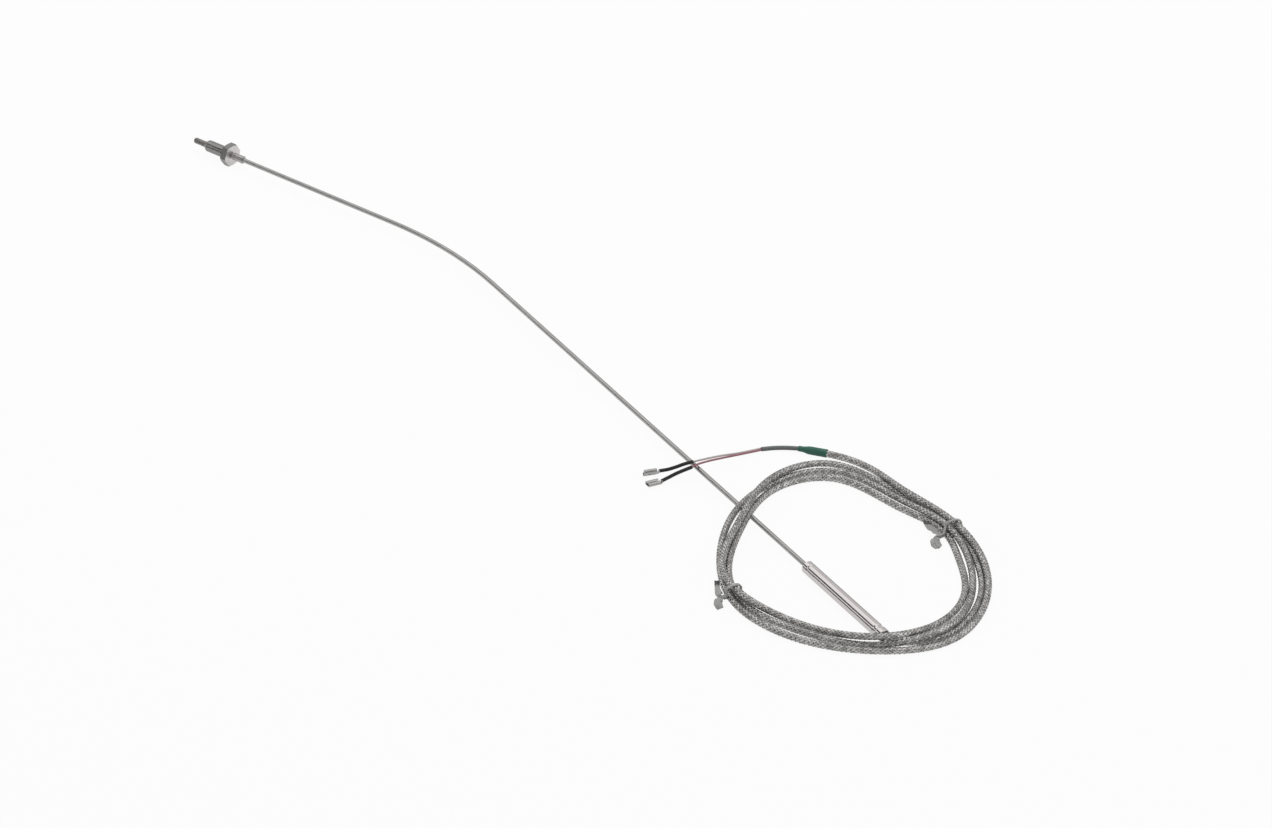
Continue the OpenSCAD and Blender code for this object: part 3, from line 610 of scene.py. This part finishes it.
# Two bag ties hold the coil: a thin wire in a flat grey plastic strip, drawn round the strands,
# twisted on itself and left with both crumpled ends lying beside the coil, one end dark. A row of
# an end gives x, y, height, width and thickness in mm, and which way the width lies.
tie_skin = plastic("tie_plastic", (0.42, 0.42, 0.41), 0.35, 0.4, 1400, 0.00006)
tie_tip = plastic("tie_tip", (0.10, 0.10, 0.10), 0.3, 0.5)
tie_reach = 4.2
wire_bead = 0.32
for name, middle, out, high, first_end, last_end in (
    ("tie_right", (505.1, -47.2), (0.515, 0.857), 3.95,
     [(490.6, -48.3, 2.4, 3.4, 0.40, (-0.55, -0.8, 0)),
      (495.4, -51.8, 2.2, 5.0, 0.35, (-0.5, -0.85, 0.15)),
      (500.1, -54.2, 2.8, 4.6, 0.40, (-0.1, -0.9, 0.3)),
      (504.0, -54.5, 3.2, 1.7, 0.80, (0.5, -0.8, 0.1))],
     [(507.0, -61.7, 1.3, 3.6, 0.40, (0.9, 0.2, 0.1)),
      (503.6, -59.9, 1.7, 5.0, 0.35, (0.85, 0, 0.25)),
      (502.3, -56.7, 2.2, 4.6, 0.40, (0.85, -0.2, 0.3)),
      (503.9, -54.2, 2.4, 1.7, 0.80, (0.86, -0.5, 0))]),
    ("tie_left", (453.1, -152.6), (0.423, 0.906), 3.75,
     [(441.5, -149.7, 3.4, 2.4, 0.60, (0.8, 0.5, 0)),
      (444.9, -153.7, 2.6, 2.6, 0.35, (0.8, 0.4, 0.2)),
      (448.6, -156.8, 2.6, 3.6, 0.40, (0.9, 0.2, 0.2)),
      (452.4, -156.4, 3.2, 1.7, 0.80, (0.9, -0.4, 0))],
     [(453.9, -163.6, 1.2, 3.0, 0.40, (0.8, 0.5, 0.2)),
      (450.6, -161.1, 1.6, 4.2, 0.35, (0.9, 0.3, 0.2)),
      (449.6, -157.9, 2.2, 4.6, 0.40, (0.8, -0.5, 0.2)),
      (452.2, -156.2, 2.4, 1.7, 0.80, (0.9, -0.4, 0))]),
):
    inward = -Vector((*out, 0))
    beside = Vector((out[1], -out[0], 0))
    marks = [(*row[:3], row[3], row[4], Vector(row[5])) for row in first_end]
    # Once round the strands: a slightly squared ring, standing on the table.
    for turn in range(20, 360, 20):
        c, s = math.cos(math.radians(turn)), math.sin(math.radians(turn))
        spot = (Vector((*middle, 0)) + inward * tie_reach * math.copysign(abs(c) ** 0.8, c)
                + Vector((0, 0, high + 0.4 + (high - 0.1) * math.copysign(abs(s) ** 0.8, s))))
        marks.append((*spot, 1.5, 0.9, beside))
    marks += [(*row[:3], row[3], row[4], Vector(row[5])) for row in reversed(last_end)]
    chance = random.Random(name)
    mesh = bpy.data.meshes.new(name)
    built = bmesh.new()
    rings = []
    for i in range(len(marks) - 1):
        four = [marks[max(i - 1, 0)], marks[i], marks[i + 1], marks[min(i + 2, len(marks) - 1)]]
        for k in range(5 + (i == len(marks) - 2)):
            t = k / 5
            share = (-0.5 * t + t * t - 0.5 * t ** 3, 1 - 2.5 * t * t + 1.5 * t ** 3,
                     0.5 * t + 2 * t * t - 1.5 * t ** 3, -0.5 * t * t + 0.5 * t ** 3)
            spot = sum((Vector(m[:3]) * w for m, w in zip(four, share)), Vector())
            wide = sum(m[3] * w for m, w in zip(four, share)) / 2
            thick = sum(m[4] * w for m, w in zip(four, share)) / 2
            across = sum((m[5] * w for m, w in zip(four, share)), Vector()).normalized()
            ahead = (Vector(four[2][:3]) - Vector(four[1][:3])).normalized()
            across = (across - across.dot(ahead) * ahead).normalized()
            lift = across.cross(ahead)
            crease = chance.uniform(-0.25, 0.25) * min(wide, 1.6)
            skew = chance.uniform(-0.2, 0.2) * min(wide, 1.6)
            top, under = [], []
            for c in range(9):
                u = c / 4 - 1
                bead = wire_bead * math.exp(-((u * wide / 0.35) ** 2)) * (wide > 1.0)
                bow = crease * math.cos(3 * u) + skew * u * abs(u)
                half = thick * max(1 - u ** 4, 0.15) ** 0.5 + bead
                for skin, side in ((top, 1), (under, -1)):
                    place = spot + across * u * wide + lift * (bow + side * half)
                    place.z = max(place.z, 0.02)
                    skin.append(built.verts.new(place * 0.001 + Vector((0, 0, table))))
            rings.append(top + under[::-1])
    for step, (a, b) in enumerate(zip(rings, rings[1:])):
        for k in range(18):
            n = (k + 1) % 18
            side = built.faces.new([a[k], b[k], b[n], a[n]])
            side.smooth = True
            side.material_index = int(step < 3)
    built.faces.new(rings[0]).material_index = 1
    built.faces.new(rings[-1][::-1])
    built.to_mesh(mesh)
    built.free()
    mesh.materials.append(tie_skin)
    mesh.materials.append(tie_tip)
    tie = bpy.data.objects.new(f"{name}_strip", mesh)
    bpy.context.scene.collection.objects.link(tie)
    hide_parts(name)
    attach(tie, "probe")

# Swivel screw: a stainless bolt with a fine thread, 28 turns to the inch, bored through so that it
# turns freely on the sheath. Its hexagon is chamfered on both sides, and its rear face is turned,
# with tool marks in its bump and a painted highlight that makes its colour much brighter.
screw_steel = blank("screw_steel")
tree = screw_steel.node_tree
film, scratch = clouded(tree, 160.0, 1600.0, (0.25, 1, 1))
spot = put(tree, "ShaderNodeSeparateXYZ",
           [(0, tree.nodes.new("ShaderNodeTexCoord").outputs["Object"])])
far = sums(tree, "SQRT", sums(tree, "ADD", sums(tree, "POWER", spot.outputs["Y"], 2.0),
                              sums(tree, "POWER", spot.outputs["Z"], 2.0)))
rear_face_from = 0.0038
tool_mark = 0.00035
rear = sums(tree, "GREATER_THAN", spot.outputs["X"], rear_face_from)
cuts = sums(tree, "SINE", sums(tree, "MULTIPLY", far, 2 * math.pi / tool_mark))
turned = sums(tree, "MULTIPLY_ADD", sums(tree, "MULTIPLY", cuts, rear), 0.5, scratch)
plain = blend_colours(tree, film, (0.30, 0.296, 0.294), (0.44, 0.434, 0.43))
# Painted highlight: the rear face's colour is much brighter than the rest of the screw's steel.
painted_highlight_steel = blend_colours(tree, film, (0.66, 0.64, 0.63), (0.95, 0.92, 0.91))
principled(
    screw_steel,
    Base_Color=blend_colours(tree, rear, plain, painted_highlight_steel),
    Metallic=1.0,
    Roughness=sums(tree, "MULTIPLY_ADD", scratch, 0.16, 0.2),
    Normal=bumped(tree, turned, 0.00001),
)
thread_r, thread_long, pitch, cut_deep = 3.175, 14.3, 0.907, 0.17
lead_in_long, lead_in_deep = 1.2, 0.7
bore_r, flat, chamfer, deep = 1.28, 5.555, 0.5, 3.97
corner = flat / math.cos(math.radians(30))
round_steps = 72


def thread_at(x, turn):
    """Radius of the thread: flat crests 0.6 of the pitch wide, fading out at the hexagon."""
    share = abs((x / pitch - turn / (2 * math.pi)) % 1.0 - 0.5)
    cut = cut_deep * min(1.0, max(0.0, (share - 0.3) / 0.13))
    fade = min(1.0, max(0.0, (-0.4 - x) / 0.9))
    lead_in = (x + thread_long) * lead_in_deep / lead_in_long
    return min(thread_r - cut * fade, thread_r - lead_in_deep + lead_in)


def hex_at(turn):
    """Radius of the hexagon, and how far the chamfer reaches along it."""
    reach = flat / math.cos((turn + math.pi / 6) % (math.pi / 3) - math.pi / 6)
    return reach, chamfer * (reach - flat) / (corner - flat)


rows = [lambda t: (-thread_long, bore_r), lambda t: (-thread_long, thread_r - lead_in_deep)]
rows += [lambda t, x=-thread_long + 0.09 * k: (x, thread_at(x, t)) for k in range(1, 159)]
rows += [lambda t: (0.0, thread_r), lambda t: (0.0, flat - 0.001),
         lambda t: (hex_at(t)[1], hex_at(t)[0]), lambda t: (deep - hex_at(t)[1], hex_at(t)[0]),
         lambda t: (deep, flat - 0.001), lambda t: (deep, bore_r)]
mesh = bpy.data.meshes.new("swivel_screw_cut")
built = bmesh.new()
rings = []
for row in rows:
    ring = []
    for k in range(round_steps):
        turn = 2 * math.pi * k / round_steps
        x, r = row(turn)
        ring.append(built.verts.new(Vector((x, r * math.sin(turn), -r * math.cos(turn))) * 0.001))
    rings.append(ring)
for a, b in zip(rings, rings[1:] + rings[:1]):
    for k in range(round_steps):
        n = (k + 1) % round_steps
        built.faces.new([a[k], a[n], b[n], b[k]]).smooth = True
bmesh.ops.remove_doubles(built, verts=built.verts, dist=1e-7)
bmesh.ops.recalc_face_normals(built, faces=built.faces)
built.to_mesh(mesh)
built.free()
mesh.set_sharp_from_angle(angle=math.radians(28))
mesh.materials.append(screw_steel)
screw = bpy.data.objects.new("swivel_screw_cut", mesh)
bpy.context.scene.collection.objects.link(screw)
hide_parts("swivel_screw")
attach(screw, "screw")

# The other metals are drawn or turned stainless steel, plated terminals and copper conductors,
# with a faint cloudy film and fine scratches. Powder and resin fill the closed pieces.


def metal(name, light, dark, rough, spread=0.1, stretch=(1, 1, 1), turn=0.0, grain=1500.0,
          cloud=130.0, depth=0.00001):
    """Bare metal whose grain is stretched by stretch and turned about Z."""
    material = blank(name)
    tree = material.node_tree
    film, scratch = clouded(tree, cloud, grain, stretch, turn)
    principled(
        material,
        Base_Color=blend_colours(tree, film, dark, light),
        Metallic=1.0,
        Roughness=sums(tree, "MULTIPLY_ADD", scratch, 2 * spread, rough - spread),
        Normal=bumped(tree, scratch, depth),
    )
    return material


tip_steel = metal("tip_steel", (0.46, 0.45, 0.445), (0.13, 0.125, 0.12), 0.40, 0.15,
                  cloud=900.0, depth=0.00003)
ferrule_steel = metal("ferrule_steel", (0.58, 0.575, 0.57), (0.42, 0.415, 0.41), 0.28, 0.08)
sheath_steel = metal("sheath_steel", (0.60, 0.595, 0.59), (0.42, 0.415, 0.41), 0.24, 0.07)
sleeve_steel = metal("sleeve_steel", (0.82, 0.78, 0.775), (0.74, 0.70, 0.695), 0.13, 0.05,
                     stretch=(0.08, 1, 1), turn=math.radians(20.3))
terminal_steel = metal("terminal_plate", (0.62, 0.61, 0.60), (0.42, 0.415, 0.41), 0.3, 0.1)
copper = metal("conductor_copper", (0.68, 0.50, 0.38), (0.55, 0.40, 0.30), 0.3, 0.08)
powder = plastic("mineral_powder", (0.66, 0.64, 0.58), 0.1, 0.8)
resin = plastic("potting_resin", (0.045, 0.045, 0.05), 0.2, 0.45)
for name, material in (
    ("sensing_tip", tip_steel), ("element", powder), ("element_lead_a", copper),
    ("element_lead_b", copper), ("tip_filling", powder),
    ("ferrule", ferrule_steel), ("sheath", sheath_steel), ("sheath_insulation", powder),
    ("conductor_a", copper), ("conductor_b", copper), ("transition_sleeve", sleeve_steel),
    ("sleeve_bush", ferrule_steel), ("splice_a", terminal_steel), ("splice_b", terminal_steel),
    ("sleeve_potting", resin), ("terminal_a", terminal_steel), ("terminal_b", terminal_steel),
):
    mesh = node[name].data
    mesh.materials.clear()
    mesh.materials.append(material)
